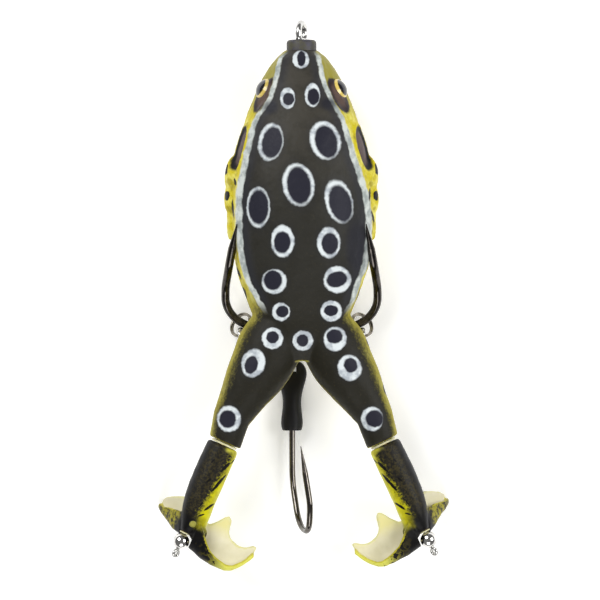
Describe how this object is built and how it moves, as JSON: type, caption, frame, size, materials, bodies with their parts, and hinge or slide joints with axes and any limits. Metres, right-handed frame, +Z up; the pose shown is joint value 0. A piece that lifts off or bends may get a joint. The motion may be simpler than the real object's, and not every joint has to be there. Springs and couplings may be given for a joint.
{
  "type": "hollow frog topwater lure",
  "caption": "Hollow soft-bodied frog topwater lure with a riding double hook, spinning propeller legs and a trailing hook.",
  "frame": {"origin": "centre of the line-tie eye's hole at the nose", "axes": "+Y the way the nose points, +X to the right seen from above the back, +Z up out of the back"},
  "size_m": [0.0508, 0.0918, 0.0202],
  "materials": {
    "painted_vinyl": "soft airbrushed vinyl, satin",
    "eye_resin": "glossy",
    "tie_wire": "bright stainless wire",
    "collar_plastic": "satin",
    "cast_weight": "as cast",
    "black_nickel": "black nickel plated",
    "plug_plastic": "as moulded",
    "shaft_steel": "drawn wire",
    "washer_plastic": "as moulded",
    "leg_plastic": "airbrushed, satin",
    "liner_brass": "drawn tube",
    "bead_chrome": "polished",
    "ring_steel": "nickel plated wire",
    "nickel_hook": "nickel plated",
    "shrink_tube": "satin heat-shrink"
  },
  "bodies": {
    "lure_body": {"body_skin": "painted_vinyl", "left_eye": "eye_resin", "right_eye": "eye_resin", "line_tie_wire": "tie_wire", "nose_collar": "collar_plastic", "belly_weight": "cast_weight", "double_hook": "black_nickel", "left_knee_plug": "plug_plastic", "left_leg_shaft": "shaft_steel", "left_knee_washer": "washer_plastic", "right_knee_plug": "plug_plastic", "right_leg_shaft": "shaft_steel", "right_knee_washer": "washer_plastic"},
    "left_leg": {"left_prop_leg": "leg_plastic", "left_leg_liner": "liner_brass"},
    "left_bead_stack": {"left_bead": "bead_chrome", "left_ankle_washer": "bead_chrome"},
    "right_leg": {"right_prop_leg": "leg_plastic", "right_leg_liner": "liner_brass"},
    "right_bead_stack": {"right_bead": "bead_chrome", "right_ankle_washer": "bead_chrome"},
    "bridle": {"bridle_wire": "ring_steel", "left_split_ring": "ring_steel", "right_split_ring": "ring_steel"},
    "stinger": {"stinger_hook": "nickel_hook", "stinger_tube": "shrink_tube"}
  },
  "joints": [
    {"name": "left_leg_spin", "type": "hinge", "parent": "lure_body", "child": "left_leg", "pos_m": [-0.01275, -0.0682, 0.0004], "axis": [-0.4051, -0.9143, 0], "continuous": true},
    {"name": "left_bead_spin", "type": "hinge", "parent": "lure_body", "child": "left_bead_stack", "pos_m": [-0.01275, -0.0682, 0.0004], "axis": [-0.4051, -0.9143, 0], "continuous": true},
    {"name": "right_leg_spin", "type": "hinge", "parent": "lure_body", "child": "right_leg", "pos_m": [0.0135, -0.0681, 0.0004], "axis": [0.4258, -0.9048, 0], "continuous": true},
    {"name": "right_bead_spin", "type": "hinge", "parent": "lure_body", "child": "right_bead_stack", "pos_m": [0.0135, -0.0681, 0.0004], "axis": [0.4258, -0.9048, 0], "continuous": true},
    {"name": "bridle_swing", "type": "hinge", "parent": "lure_body", "child": "bridle", "pos_m": [0, -0.0487, -0.0062], "axis": [1, 0, 0], "range_deg": [-6, 15]},
    {"name": "stinger_swing", "type": "hinge", "parent": "bridle", "child": "stinger", "pos_m": [-0.0016, -0.0546, -0.0067], "axis": [1, 0, 0], "range_deg": [-8, 70]}
  ]
}
